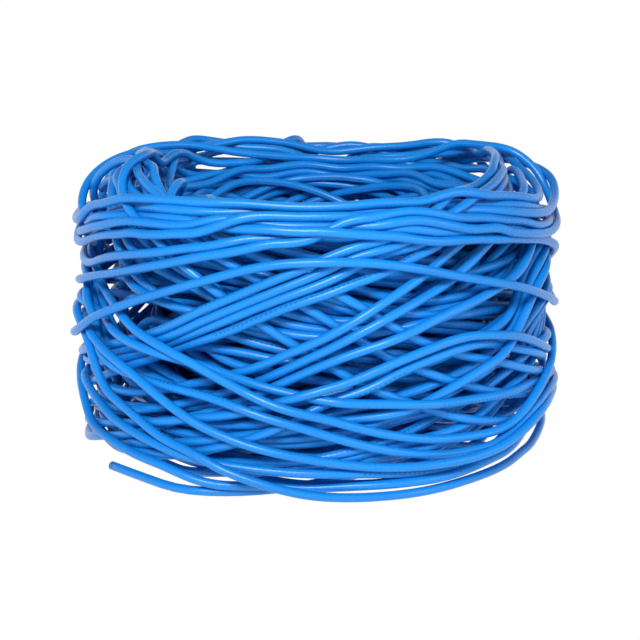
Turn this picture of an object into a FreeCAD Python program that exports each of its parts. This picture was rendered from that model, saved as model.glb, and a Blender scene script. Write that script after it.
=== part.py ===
import FreeCAD, Part
import math
import os
import Sketcher

# Loose cross-wound coil of four-pair data cable, standing on its flat end.
# Millimetres, +Z up. The origin is the centre of the face that the coil stands on.
#
# One sheet holds every driving size. The coil is a turned body, the
# lead that lies beside it is a tube of straight runs joined by tangent arcs, and
# the last straight run of the lead is built up from its real pieces: jacket,
# pair separator, ripcord, and four twisted pairs of insulated copper wires.

os.makedirs("parts", exist_ok=True)
doc = FreeCAD.newDocument("cable_coil_part")
V = FreeCAD.Vector

# ---------------------------------------------------------------- sizes
sheet = doc.addObject("Spreadsheet::Sheet", "sizes")
SIZES = [
    ("coil_outer_rad", 168.0),
    ("coil_core_rad", 78.0),
    ("coil_height", 200.0),
    ("foot_round", 28.0),
    ("shoulder_round", 32.0),
    ("core_round", 13.0),
    ("cable_dia", 6.0),
    ("jacket_wall", 0.5),
    ("arm_thick", 0.3),
    ("arm_reach", 2.14),
    ("ripcord_dia", 0.3),
    ("ripcord_offset", 2.33),
    ("wire_dia", 0.53),
    ("skin_dia", 0.91),
    ("skin_bore", 0.55),
    ("wire_offset", 0.465),
    ("pair_offset", 1.09),
    ("twist_blue", 11.5),
    ("twist_orange", 13.5),
    ("twist_green", 12.3),
    ("twist_brown", 14.6),
    ("twist_steps", 12.0),
    ("arc_share", 0.45),
    # route of the lead along the floor, from the cut end to inside the coil
    ("route_ax", -140.7), ("route_ay", -93.0),
    ("route_bx", -116.3), ("route_by", -116.6),
    ("route_cx", -89.0), ("route_cy", -141.0),
    ("route_dx", -54.0), ("route_dy", -144.8),
    ("route_ex", -20.5), ("route_ey", -137.5),
    ("route_fx", 10.0), ("route_fy", -123.0),
]
for row, (alias, value) in enumerate(SIZES, start=1):
    sheet.set("A%d" % row, alias)
    sheet.set("B%d" % row, repr(value))
    sheet.setAlias("B%d" % row, alias)
doc.recompute()


def size(alias):
    return float(getattr(sheet, alias))


def plane(body, role):
    for feature in body.Origin.OriginFeatures:
        if feature.Role == role:
            return feature
    raise RuntimeError("no plane " + role)


def ring_edges(shape, radius, height, tol=0.05):
    """Names of the circular edges with this radius at this height."""
    names = []
    for i, edge in enumerate(shape.Edges, start=1):
        curve = edge.Curve
        if isinstance(curve, Part.Circle) and abs(curve.Radius - radius) < tol \
                and abs(curve.Center.z - height) < tol:
            names.append("Edge%d" % i)
    if not names:
        raise RuntimeError("no edge at radius %g height %g" % (radius, height))
    return names


parts = []          # the sub-parts, in the order they are written


# ---------------------------------------------------------------- the coil
coil = doc.addObject("PartDesign::Body", "cable_coil")
coil.Label = "cable_coil"
section = coil.newObject("Sketcher::SketchObject", "winding_section")
section.AttachmentSupport = [(plane(coil, "XZ_Plane"), "")]
section.MapMode = "FlatFace"
lo, hi, top = size("coil_core_rad"), size("coil_outer_rad"), size("coil_height")
corners = [V(lo, 0, 0), V(hi, 0, 0), V(hi, top, 0), V(lo, top, 0)]
for i in range(4):
    section.addGeometry(Part.LineSegment(corners[i], corners[(i + 1) % 4]), False)
for i in range(4):
    section.addConstraint(Sketcher.Constraint("Coincident", i, 2, (i + 1) % 4, 1))
for i, kind in enumerate(["Horizontal", "Vertical", "Horizontal", "Vertical"]):
    section.addConstraint(Sketcher.Constraint(kind, i))
section.addConstraint(Sketcher.Constraint("PointOnObject", 0, 1, -1))
section.addConstraint(Sketcher.Constraint("DistanceX", -1, 1, 0, 1, lo))
section.renameConstraint(9, "core_rad")
section.addConstraint(Sketcher.Constraint("DistanceX", -1, 1, 0, 2, hi))
section.renameConstraint(10, "outer_rad")
section.addConstraint(Sketcher.Constraint("DistanceY", 1, 1, 1, 2, top))
section.renameConstraint(11, "tall")
section.setExpression("Constraints.core_rad", "sizes.coil_core_rad")
section.setExpression("Constraints.outer_rad", "sizes.coil_outer_rad")
section.setExpression("Constraints.tall", "sizes.coil_height")
doc.recompute()
turned = coil.newObject("PartDesign::Revolution", "winding_ring")
turned.Profile = section
turned.ReferenceAxis = (section, ["V_Axis"])
turned.Angle = 360.0
doc.recompute()


def round_ring(name, base, alias, rings):
    """A fillet of one radius on the given ring edges."""
    feature = coil.newObject("PartDesign::Fillet", name)
    feature.Base = (base, sum((ring_edges(base.Shape, r, z) for r, z in rings), []))
    feature.setExpression("Radius", "sizes." + alias)
    doc.recompute()
    return feature


foot = round_ring("foot_round", turned, "foot_round", [(hi, 0.0)])
shoulder = round_ring("shoulder_round", foot, "shoulder_round", [(hi, top)])
throat = round_ring("core_round", shoulder, "core_round", [(lo, 0.0), (lo, top)])
coil.Tip = throat
doc.recompute()
parts.append(coil)

# ---------------------------------------------------------------- route of the lead
rad = size("cable_dia") / 2.0
route = [V(size("route_%sx" % k), size("route_%sy" % k), rad) for k in "abcdef"]
share = size("arc_share")
edges, radii, lengths = [], [], [0.0]
start = route[0]
cut_end_straight = None
for i in range(1, len(route) - 1):
    back = (route[i - 1] - route[i])
    ahead = (route[i + 1] - route[i])
    shorter = min(back.Length, ahead.Length)
    back.normalize()
    ahead.normalize()
    turn = math.pi - back.getAngle(ahead)
    reach = share * shorter
    bend = reach / math.tan(turn / 2.0)
    radii.append(bend)
    p1 = route[i] + back * reach
    p3 = route[i] + ahead * reach
    bisector = (back + ahead)
    bisector.normalize()
    centre = route[i] + bisector * math.hypot(bend, reach)
    p2 = centre - bisector * bend
    if (p1 - start).Length > 1e-6:
        edges.append(Part.LineSegment(start, p1).toShape())
        lengths.append((p1 - start).Length)
    if cut_end_straight is None:
        cut_end_straight = p1
    arc = Part.Arc(p1, p2, p3).toShape()
    edges.append(arc)
    lengths.append(arc.Length)
    start = p3
edges.append(Part.LineSegment(start, route[-1]).toShape())
lengths.append(edges[-1].Length)
print("arc radii of the lead, mm:", [round(r, 1) for r in radii])
print("runs, mm:", [round((route[i + 1] - route[i]).Length, 1) for i in range(len(route) - 1)])
print("length of the lead's path, mm: %.1f" % sum(lengths))

end_len = (cut_end_straight - route[0]).Length      # the straight run at the cut end
inward = (route[1] - route[0])
inward.normalize()
# local frame of the cut end: z runs from the end face into the cable
end_place = FreeCAD.Placement(route[0], FreeCAD.Rotation(V(0, 0, 1), inward))
print("straight run at the cut end, mm: %.3f" % end_len)
sheet.set("A%d" % (len(SIZES) + 1), "end_run")
sheet.set("B%d" % (len(SIZES) + 1), repr(end_len))
sheet.setAlias("B%d" % (len(SIZES) + 1), "end_run")
doc.recompute()

# ---------------------------------------------------------------- the lead's tube
# It begins where the built-up end stops and runs into the coil's foot.
spine = doc.addObject("Part::Feature", "lead_path")
spine.Shape = Part.Wire(edges[1:])
profile = doc.addObject("Part::Circle", "lead_profile")
profile.setExpression("Radius", "sizes.cable_dia / 2")
profile.Placement = FreeCAD.Placement(cut_end_straight, FreeCAD.Rotation(V(0, 0, 1), inward))
tube = doc.addObject("Part::Sweep", "lead_tube")
tube.Sections = [profile]
tube.Spine = (spine, ["Edge%d" % (i + 1) for i in range(len(edges) - 1)])
tube.Solid = True
tube.Frenet = False
doc.recompute()
expected = math.pi * rad * rad * (sum(lengths) - end_len)
print("tube volume %.1f, section x length %.1f" % (tube.Shape.Volume, expected))
if abs(tube.Shape.Volume - expected) > 0.01 * expected:
    raise RuntimeError("the lead's tube has the wrong volume")
lead = doc.addObject("Part::Cut", "tail_cable")
lead.Label = "tail_cable"
lead.Base = tube
lead.Tool = coil
doc.recompute()
print("lead outside the coil: volume %.1f, solids %d" % (lead.Shape.Volume, len(lead.Shape.Solids)))
parts.append(lead)


# ---------------------------------------------------------------- built-up cut end
def padded_body(label, draw):
    """A body whose one sketch is padded over the straight run."""
    body = doc.addObject("PartDesign::Body", label)
    body.Label = label
    sketch = body.newObject("Sketcher::SketchObject", label + "_section")
    sketch.AttachmentSupport = [(plane(body, "XY_Plane"), "")]
    sketch.MapMode = "FlatFace"
    draw(sketch)
    doc.recompute()
    pad = body.newObject("PartDesign::Pad", label + "_pad")
    pad.Profile = sketch
    pad.setExpression("Length", "sizes.end_run")
    doc.recompute()
    body.Tip = pad
    body.Placement = end_place
    parts.append(body)
    return body


def draw_jacket(sketch):
    outer = rad
    inner = rad - size("jacket_wall")
    sketch.addGeometry(Part.Circle(V(0, 0, 0), V(0, 0, 1), outer), False)
    sketch.addGeometry(Part.Circle(V(0, 0, 0), V(0, 0, 1), inner), False)
    sketch.addConstraint(Sketcher.Constraint("Coincident", 0, 3, -1, 1))
    sketch.addConstraint(Sketcher.Constraint("Coincident", 1, 3, -1, 1))
    sketch.addConstraint(Sketcher.Constraint("Radius", 0, outer))
    sketch.renameConstraint(2, "outside")
    sketch.addConstraint(Sketcher.Constraint("Radius", 1, inner))
    sketch.renameConstraint(3, "inside")
    sketch.setExpression("Constraints.outside", "sizes.cable_dia / 2")
    sketch.setExpression("Constraints.inside", "sizes.cable_dia / 2 - sizes.jacket_wall")


def draw_separator(sketch):
    w, r = size("arm_thick") / 2.0, size("arm_reach")
    # the outline runs counterclockwise from the upper right inner corner
    pts = [(w, w), (w, r), (-w, r), (-w, w), (-r, w), (-r, -w),
           (-w, -w), (-w, -r), (w, -r), (w, -w), (r, -w), (r, w)]
    count = len(pts)
    for i in range(count):
        a, b = pts[i], pts[(i + 1) % count]
        sketch.addGeometry(Part.LineSegment(V(a[0], a[1], 0), V(b[0], b[1], 0)), False)
    for i in range(count):
        sketch.addConstraint(Sketcher.Constraint("Coincident", i, 2, (i + 1) % count, 1))
    # every corner's place is fixed from the arm's half thickness and its reach
    number = count
    for i, (x, y) in enumerate(pts):
        for axis, value in (("DistanceX", x), ("DistanceY", y)):
            if value > 0:
                sketch.addConstraint(Sketcher.Constraint(axis, -1, 1, i, 1, value))
            else:
                sketch.addConstraint(Sketcher.Constraint(axis, i, 1, -1, 1, -value))
            name = "p%d%s" % (i, axis[-1])
            sketch.renameConstraint(number, name)
            source = "sizes.arm_thick / 2" if abs(abs(value) - w) < 1e-9 else "sizes.arm_reach"
            sketch.setExpression("Constraints." + name, source)
            number += 1


def draw_ripcord(sketch):
    sketch.addGeometry(Part.Circle(V(size("ripcord_offset"), 0, 0), V(0, 0, 1), size("ripcord_dia") / 2.0), False)
    sketch.addConstraint(Sketcher.Constraint("PointOnObject", 0, 3, -1))
    sketch.addConstraint(Sketcher.Constraint("DistanceX", -1, 1, 0, 3, size("ripcord_offset")))
    sketch.renameConstraint(1, "offset")
    sketch.addConstraint(Sketcher.Constraint("Radius", 0, size("ripcord_dia") / 2.0))
    sketch.renameConstraint(2, "thickness")
    sketch.setExpression("Constraints.offset", "sizes.ripcord_offset")
    sketch.setExpression("Constraints.thickness", "sizes.ripcord_dia / 2")


padded_body("tail_jacket", draw_jacket)
padded_body("pair_separator", draw_separator)
padded_body("ripcord", draw_ripcord)

# Each wire follows a helix round the middle of its pair, drawn as short mitred
# runs, twelve to a turn, whose middles lie on the helix. The sweep starts before
# the end face and stops after the run, and a cylinder trims it flush.
over = 1.2


def swept(name, pitch_alias, dia_alias):
    steps = int(round(size("twist_steps")))
    rise = size(pitch_alias) / steps
    corner = size("wire_offset") / math.cos(math.pi / steps)
    count = int(math.ceil((end_len + 2.0 * over) / rise)) + 1
    points = []
    for i in range(count + 1):
        angle = 2.0 * math.pi * i / steps
        points.append(V(corner * math.cos(angle), corner * math.sin(angle), i * rise - over))
    line = doc.addObject("Part::Feature", name + "_line")
    line.Shape = Part.makePolygon(points)
    ring = doc.addObject("Part::Circle", name + "_profile")
    ring.setExpression("Radius", "sizes.%s / 2" % dia_alias)
    ring.Placement = FreeCAD.Placement(points[0], FreeCAD.Rotation(V(0, 0, 1), points[1] - points[0]))
    sweep = doc.addObject("Part::Sweep", name + "_sweep")
    sweep.Sections = [ring]
    sweep.Spine = (line, ["Edge%d" % (i + 1) for i in range(count)])
    sweep.Solid = True
    sweep.Frenet = False
    sweep.Transition = "Right corner"
    return sweep


def flush(name, sweep):
    trim = doc.addObject("Part::Cylinder", name + "_trim")
    trim.Radius = 2.0
    trim.setExpression("Height", "sizes.end_run")
    common = doc.addObject("Part::Common", name)
    common.Base = sweep
    common.Tool = trim
    return common


quarter = size("pair_offset")
PAIRS = [
    ("blue", 1, 1, 35.0),
    ("orange", -1, 1, 110.0),
    ("green", -1, -1, 70.0),
    ("brown", 1, -1, 10.0),
]
for colour, sx, sy, phase in PAIRS:
    for name, turn in ((colour, phase), ("white_" + colour, phase + 180.0)):
        pitch = "twist_" + colour
        place = end_place.multiply(FreeCAD.Placement(V(sx * quarter, sy * quarter, 0), FreeCAD.Rotation(V(0, 0, 1), turn)))
        copper = flush("conductor_" + name, swept("copper_" + name, pitch, "wire_dia"))
        copper.Label = "conductor_" + name
        copper.Placement = place
        parts.append(copper)
        body = flush("skin_" + name, swept("skin_outer_" + name, pitch, "skin_dia"))
        bore = swept("skin_inner_" + name, pitch, "skin_bore")
        skin = doc.addObject("Part::Cut", "insulation_" + name)
        skin.Label = "insulation_" + name
        skin.Base = body
        skin.Tool = bore
        skin.Placement = place
        parts.append(skin)

doc.recompute()

# ---------------------------------------------------------------- check and write
for obj in doc.Objects:
    if "Invalid" in obj.State or "Error" in obj.State:
        raise RuntimeError("%s did not recompute: %s" % (obj.Name, obj.State))
for obj in parts:
    shape = obj.Shape
    if shape.isNull() or not shape.isValid() or len(shape.Solids) != 1:
        raise RuntimeError("%s is not one valid solid" % obj.Label)
    print("%-26s volume %12.3f mm3" % (obj.Label, shape.Volume))
for obj in parts:
    obj.Shape.exportStep("parts/%s.step" % obj.Label)
print("wrote %d sub-parts" % len(parts))
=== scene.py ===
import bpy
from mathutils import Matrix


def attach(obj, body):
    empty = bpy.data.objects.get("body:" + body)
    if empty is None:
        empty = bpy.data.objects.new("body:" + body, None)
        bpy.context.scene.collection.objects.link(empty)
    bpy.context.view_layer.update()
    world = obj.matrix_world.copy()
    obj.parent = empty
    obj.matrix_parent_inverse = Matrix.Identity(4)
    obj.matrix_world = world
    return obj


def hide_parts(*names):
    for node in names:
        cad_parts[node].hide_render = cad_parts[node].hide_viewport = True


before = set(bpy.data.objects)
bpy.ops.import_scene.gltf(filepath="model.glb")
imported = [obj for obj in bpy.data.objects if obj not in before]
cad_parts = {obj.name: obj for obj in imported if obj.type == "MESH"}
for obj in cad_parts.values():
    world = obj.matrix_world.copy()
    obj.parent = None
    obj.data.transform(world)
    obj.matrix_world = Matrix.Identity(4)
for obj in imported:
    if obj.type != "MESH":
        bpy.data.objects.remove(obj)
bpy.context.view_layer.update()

import math

import bpy
import numpy as np

# ---------------------------------------------------------------- the winding
# All sizes here are in millimetres. The cable is laid turn by turn on what is
# already wound, as a winder lays it: every new turn rests on the turns below.
A = 2.8                       # half the cable's pitch: soft jackets press together a little
TAU = 2.0 * math.pi
STEP = math.radians(1.25)     # spacing of samples round the coil


class Core:
    """What is wound so far, as the radius of its outer surface over angle and height."""

    def __init__(self, start=75.0):
        self.nth, self.z0, self.dz = 720, -4.0, 1.0
        self.nz = 217
        self.h = np.full((self.nth, self.nz), start)
        self.dth = TAU / self.nth
        self.th = np.zeros(0)
        self.z = np.zeros(0)
        self.out = []
        self.last = start + A

    def cells(self, th, z, r):
        mi = int(math.ceil(A / (r.min() * self.dth))) + 1
        mj = int(math.ceil(A / self.dz)) + 1
        di = np.arange(-mi, mi + 1)[:, None, None]
        dj = np.arange(-mj, mj + 1)[None, :, None]
        i = np.round(th / self.dth).astype(int)[None, None, :] + di
        j = np.clip(np.round((z - self.z0) / self.dz).astype(int)[None, None, :] + dj, 0, self.nz - 1)
        q = A * A - ((i * self.dth - th) * r) ** 2 - (self.z0 + j * self.dz - z) ** 2
        return i % self.nth, j, q

    def need(self, th, z, r):
        i, j, q = self.cells(th, z, r)
        return np.where(q > 0, self.h[i, j] + np.sqrt(np.maximum(q, 0)), 0.0).max(axis=(0, 1))

    def lay(self, th, z, r):
        i, j, q = self.cells(th, z, r)
        v = r + np.sqrt(np.maximum(q, 0))
        i, j, v = np.broadcast_arrays(i, j, v)
        ok = q > 0
        np.maximum.at(self.h, (i[ok], j[ok]), v[ok])

    def add(self, th, z, bow=7.0, soft=4.0, hold=50.0, flush=False):
        th, z = np.concatenate([self.th, th]), np.concatenate([self.z, z])
        step = self.last * STEP
        full, w = bridge(self.need(th, z, np.full(len(th), self.last)), step, bow / (2 * self.last), hold, self.last)
        full = soften(full, soft / step, np.concatenate(self.out[-2:])[:, 2] if self.out else None)
        cut = len(full) if flush else max(0, len(full) - w)
        if cut:
            self.lay(th[:cut], z[:cut], full[:cut])
            self.out.append(np.stack([th[:cut], z[:cut], full[:cut]], 1))
            self.last = float(full[cut - 1])
        self.th, self.z = th[cut:], z[cut:]


def bridge(need, step, k, hold, before=None):
    """A stiff cable leaves every support along a parabola, so it bridges hollows."""
    w = max(2, int(hold / step))
    full = need.copy()
    for d in range(1, min(w, len(need) - 1) + 1):
        drop = k * (d * step) ** 2
        full[d:] = np.maximum(full[d:], need[:-d] - drop)
        full[:-d] = np.maximum(full[:-d], need[d:] - drop)
    if before is not None:
        d = np.arange(len(full)) + 1
        full = np.maximum(full, before - k * (d * step) ** 2)
    return full, w


def soften(values, m, head=None):
    m = max(0.8, m)
    n = int(3 * m)
    ker = np.exp(-0.5 * (np.arange(-n, n + 1) / m) ** 2)
    ker /= ker.sum()
    first = np.full(n, values[0])
    if head is not None and len(head) >= n:
        first = head[-n:]
    return np.convolve(np.concatenate([first, values, np.full(n, values[-1])]), ker, mode="valid")


def rise(t, e):
    """0 to 1, straight in the middle and rounded at both ends."""
    t = np.clip(t, 0, 1)
    return np.where(t < e, t * t / (2 * e), np.where(t > 1 - e, 1 - e - (1 - t) ** 2 / (2 * e), t - e / 2)) / (1 - e)


def over_lead(th, r):
    """The lowest a turn of radius r can lie: it passes over the lead, which comes in under the coil."""
    at = np.interp(r, [87.0, 92.0, 110.0, 123.0, 139.0, 154.5, 166.7], np.radians([85.0, 62.0, 20.0, 4.6, -8.5, -20.4, -32.3]))
    t = np.clip((math.radians(24) - np.abs((th - at + math.pi) % TAU - math.pi)) / math.radians(14), 0, 1)
    return 3.0 + 5.8 * t * t * (3 - 2 * t)


def wind_core(stop, seed=11, tries=40, sig=13.0):
    """The inside of the coil: turns that climb and fall between the two ends, each
    laid where it finds the deepest way, until the mean radius is stop."""
    rng = np.random.default_rng(seed)
    core = Core(78.2)
    th, z, up = math.radians(-60), 12.0, True
    i0, i1 = int((30 - core.z0) / core.dz), int((165 - core.z0) / core.dz)
    mean = 78.0
    while mean < stop:
        lo = 3.0 + 8.0 * max(0.0, (92 - mean) / 14.0) ** 2 + 16.0 * max(0.0, (mean - 138) / 25.0) ** 2
        hi = 180.0 - 1.0 * max(0.0, (92 - mean) / 14.0) ** 2 - 35.0 * max(0.0, (mean - 100) / 35.0) ** 2
        best = None
        for _ in range(tries):
            span = TAU * rng.uniform(0.82, 1.2)
            off = abs(rng.normal(0, sig))
            zt = hi - off if up else lo + off
            e = rng.uniform(0.08, 0.2)
            m = int(round(span / STEP))
            a = th + STEP * np.arange(1, m + 1)
            zz = np.maximum(z + (zt - z) * rise((a - th) / span, e), over_lead(a, mean))
            cost = np.mean(np.maximum(core.need(a, zz, np.full(m, mean)) - mean + 12, 0) ** 2)
            if best is None or cost < best[0]:
                best = (cost, a, zz, zt)
        core.add(best[1], best[2])
        th, z, up = best[1][-1], best[3], not up
        mean = float(core.h[:, i0:i1].mean())
    core.add(np.zeros(0), np.zeros(0), flush=True)
    return core, rng


# The outer turns lie on a shell: a skeleton line in the half plane (radius,
# height), up the side and over the shoulder to the top, and a height off it.
SIDE, TOP, BEND = 133.0, 168.0, 4.0
ARC = BEND * math.pi / 2


def skeleton(k):
    """Point and outward normal of the skeleton at length k from the floor."""
    k = np.asarray(k, float)
    a = np.clip((k - TOP) / BEND, 0, math.pi / 2)
    r = SIDE + BEND * np.cos(a) - np.maximum(k - TOP - ARC, 0)
    z = np.minimum(k, TOP) + BEND * np.sin(a)
    return r, z, np.cos(a), np.sin(a)


def frames(th, k):
    r, z, nr, nz = skeleton(k)
    s, c = np.sin(th), np.cos(th)
    o = np.stack([r * s, -r * c, z + 0 * s], -1)
    n = np.stack([nr * s, -nr * c, nz + 0 * s], -1)
    return o, n


class Shell:
    """Height of the wound surface above the skeleton, over angle and length."""

    def __init__(self):
        self.nth, self.dk, self.k0 = 720, 1.0, -4.0
        self.nk = int(TOP + ARC + 62 - self.k0)
        self.dth = TAU / self.nth
        self.h = np.full((self.nth, self.nk), 2.0)
        i = np.arange(self.nth)[:, None] * self.dth
        j = self.k0 + np.arange(self.nk)[None, :] * self.dk
        self.o, self.n = frames(i + 0 * j, j + 0 * i)
        self.th = np.zeros(0)
        self.k = np.zeros(0)
        self.lo = np.zeros(0)
        self.out = []
        self.last = None

    def cells(self, th, k, mi=5, mj=5):
        di = np.arange(-mi, mi + 1)[:, None, None]
        dj = np.arange(-mj, mj + 1)[None, :, None]
        i = (np.round(th / self.dth).astype(int)[None, None, :] + di) % self.nth
        j = np.clip(np.round((k - self.k0) / self.dk).astype(int)[None, None, :] + dj, 0, self.nk - 1)
        return np.broadcast_arrays(i, j)

    def need(self, th, k):
        i, j = self.cells(th, k)
        o, n = frames(th, k)
        q = self.o[i, j] + self.h[i, j][..., None] * self.n[i, j] - o
        along = (q * n).sum(-1)
        side = (q * q).sum(-1) - along ** 2
        return np.where(side < A * A, along + np.sqrt(np.maximum(A * A - side, 0)), 2.0 + A).max(axis=(0, 1))

    def lay_points(self, p):
        """Lays spheres of the cable's size at points p; close points make a tube."""
        r = np.hypot(p[:, 0], p[:, 1])
        th = np.arctan2(p[:, 0], -p[:, 1])
        over = np.stack([r - SIDE, p[:, 2] - TOP], 1)
        a = np.arctan2(np.maximum(over[:, 1], 0), np.maximum(over[:, 0], 1e-9))
        k = np.where(over[:, 1] <= 0, p[:, 2], np.where(over[:, 0] <= 0, TOP + ARC - over[:, 0], TOP + BEND * a))
        i, j = self.cells(th, k, 6, 7)
        o, n = self.o[i, j], self.n[i, j]
        q = p[None, None, :, :] - o
        along = (q * n).sum(-1)
        side = (q * q).sum(-1) - along ** 2
        ok = side < A * A
        v = along + np.sqrt(np.maximum(A * A - side, 0))
        np.maximum.at(self.h, (i[ok], j[ok]), v[ok])

    def lay(self, th, k, h):
        # twice as close, so that the spheres make a tube
        t = np.arange(0, len(th) - 0.5, 0.5)
        s = np.arange(len(th))
        th, k, h = np.interp(t, s, th), np.interp(t, s, k), np.interp(t, s, h)
        o, n = frames(th, k)
        self.lay_points(o + h[:, None] * n)

    def add(self, th, k, lo=None, bow=4.6, soft=8.0, hold=50.0, flush=False):
        lo = np.zeros(len(th)) if lo is None else lo
        th, k, lo = np.concatenate([self.th, th]), np.concatenate([self.k, k]), np.concatenate([self.lo, lo])
        step = 155.0 * STEP
        need = np.maximum(self.need(th, k), lo)
        full, w = bridge(need, step, bow / 310.0, hold, self.last)
        full = soften(full, soft / step, np.concatenate(self.out[-2:])[:, 2] if self.out else None)
        cut = len(full) if flush else max(0, len(full) - w)
        if cut:
            self.lay(th[:cut], k[:cut], full[:cut])
            self.out.append(np.stack([th[:cut], k[:cut], full[:cut]], 1))
            self.last = float(full[cut - 1])
        self.th, self.k, self.lo = th[cut:], k[cut:], lo[cut:]


def join(th0, k0, s0, th1, k1, s1, bow, twist):
    """The way round the back from one run to the next: it keeps the ends' slopes and bows
    up or down in between."""
    m = max(8, int(round((th1 - th0) / STEP)))
    d = th1 - th0
    u = d * np.arange(1, m) / m
    v = d - u
    ta = min(0.28, (16.0 if k0 > 160 else 30.0) / (abs(s0) + 1))
    tb = min(0.28, (16.0 if k1 > 160 else 30.0) / (abs(s1) + 1))
    a = k0 + s0 * ta * (1 - np.exp(-u / ta))
    b = k1 - s1 * tb * (1 - np.exp(-v / tb))
    w = u / d
    w = w * w * w * (10 - 15 * w + 6 * w * w)
    k = (1 - w) * a + w * b + bow * np.sin(math.pi * u / d) ** 2 + twist * np.sin(TAU * u / d) * np.sin(math.pi * u / d)
    return th0 + u, np.clip(k, 3 + abs(bow) * 0.05, TOP + ARC + 48 - abs(twist) * 0.3)


def spline(th, k):
    """A smooth line through a run's points, at the winding's own spacing."""
    th, k = np.asarray(th, float), np.asarray(k, float)
    m = np.empty(len(th))
    d = np.diff(k) / np.diff(th)
    w = np.diff(th)
    m[1:-1] = (d[:-1] * w[1:] + d[1:] * w[:-1]) / (w[1:] + w[:-1])
    m[0], m[-1] = np.clip(d[0], -230, 230), np.clip(d[-1], -230, 230)
    n = max(2, int(round((th[-1] - th[0]) / STEP)))
    x = th[0] + (th[-1] - th[0]) * np.arange(n + 1) / n
    i = np.clip(np.searchsorted(th, x, side="right") - 1, 0, len(d) - 1)
    t = (x - th[i]) / w[i]
    y = ((2 * t ** 3 - 3 * t ** 2 + 1) * k[i] + (t ** 3 - 2 * t ** 2 + t) * w[i] * m[i]
         + (-2 * t ** 3 + 3 * t ** 2) * k[i + 1] + (t ** 3 - t ** 2) * w[i] * m[i + 1])
    return x, y, m[0], m[-1]


def wind_shell(core, runs):
    """The outside of the coil: the runs in order, each joined to the next round the back."""
    inner = core_xyz(np.concatenate(core.out))
    shell = Shell()
    r = np.hypot(inner[:, 0], inner[:, 1])
    near = inner[(r > SIDE - 4) | (inner[:, 2] > TOP - 4)]
    for a in range(0, len(near), 20000):
        shell.lay_points(near[a:a + 20000])
    last = core.out[-1][-1]
    th, k, s = float(last[0]), float(min(last[1], TOP)), 0.0
    shell.last = float(last[2]) - SIDE
    for deg, kk, lo, bend, give in runs:
        x, y, s0, s1 = spline(np.radians(deg), kk)
        turn = TAU * math.ceil((th - x[0] + 0.9) / TAU)
        x = x + turn
        a, b = join(th, k, s, x[0], y[0], s0, *bend)
        if lo is None:
            low = np.zeros(len(x))
        else:
            low = np.interp(x - turn, np.radians(deg), lo)
        a, b = np.concatenate([a, x]), np.concatenate([b, y])
        shell.add(a, np.clip(b, over_lead(a, 155.0), TOP + ARC + 55),
                  np.concatenate([np.zeros(len(a) - len(x)), low]), give, 12.0 if give > 2 else 18.0)
        th, k, s = x[-1], y[-1], s1
    shell.add(np.zeros(0), np.zeros(0), flush=True)
    return inner, shell


# ------------------------------------------------------------- the whole route
def core_xyz(p):
    return np.stack([p[:, 2] * np.sin(p[:, 0]), -p[:, 2] * np.cos(p[:, 0]), p[:, 1]], 1)


def squeeze(h):
    """Where many turns cross, the pile presses flatter."""
    return h - 0.4 * np.maximum(h - 30.0, 0)


def shell_xyz(p):
    o, n = frames(p[:, 0], p[:, 1])
    return o + squeeze(p[:, 2:3]) * n


def resample(p, gap):
    s = np.concatenate([[0], np.cumsum(np.linalg.norm(np.diff(p, axis=0), axis=1))])
    t = np.linspace(0, s[-1], max(2, int(round(s[-1] / gap)) + 1))
    return np.stack([np.interp(t, s, p[:, i]) for i in range(3)], 1)


def blur(p, m):
    n = int(3 * m)
    ker = np.exp(-0.5 * (np.arange(-n, n + 1) / m) ** 2)
    ker /= ker.sum()
    q = np.concatenate([np.repeat(p[:1], n, 0), p, np.repeat(p[-1:], n, 0)])
    return np.stack([np.convolve(q[:, i], ker, mode="valid") for i in range(3)], 1)




def ease(p, least, fixed, rounds=400):
    """Eases every bend of a quadratic line tighter than least, leaving its first points alone."""
    p = p.copy()
    for _ in range(rounds):
        u, v = p[1:-1] - p[:-2], p[2:] - p[1:-1]
        w = v - u
        t = np.clip(-(u * w).sum(1) / np.maximum((w * w).sum(1), 1e-12), 0, 1)
        speed = np.linalg.norm(u + w * t[:, None], axis=1)
        radius = speed ** 3 / np.maximum(np.linalg.norm(np.cross(u, w), axis=1), 1e-9)
        bad = np.zeros(len(p))
        bad[1:-1] = np.clip((least - radius) / least * 4 + 0.3, 0, 1) * (radius < least)
        if not bad[fixed:].any():
            break
        bad = np.maximum(bad, 0.7 * np.maximum(np.roll(bad, 1), np.roll(bad, -1)))
        bad[:fixed] = bad[-1:] = 0
        move = np.zeros_like(p)
        move[1:-1] = 0.5 * (p[:-2] + p[2:]) - p[1:-1]
        p += 0.45 * bad[:, None] * move
    return p


def close_pairs(q, r):
    """Index pairs of points nearer than r, by a grid of cells."""
    g = np.floor(q / r).astype(np.int64)
    g -= g.min(0) - 1
    d = g.max(0) + 2
    key = (g[:, 0] * d[1] + g[:, 1]) * d[2] + g[:, 2]
    order = np.argsort(key, kind="stable")
    ks = key[order]
    ii, jj = [], []
    for dx in (-1, 0, 1):
        for dy in (-1, 0, 1):
            for dz in (-1, 0, 1):
                off = (dx * d[1] + dy) * d[2] + dz
                if off < 0:
                    continue
                lo = np.searchsorted(ks, key + off, "left")
                n = np.searchsorted(ks, key + off, "right") - lo
                i = np.repeat(np.arange(len(q)), n)
                j = order[np.repeat(lo - (np.cumsum(n) - n), n) + np.arange(n.sum())]
                ok = (i < j) if off == 0 else np.ones(len(i), bool)
                i, j = i[ok], j[ok]
                near = ((q[i] - q[j]) ** 2).sum(1) < r * r
                ii.append(i[near])
                jj.append(j[near])
    return np.concatenate(ii), np.concatenate(jj)


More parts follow.
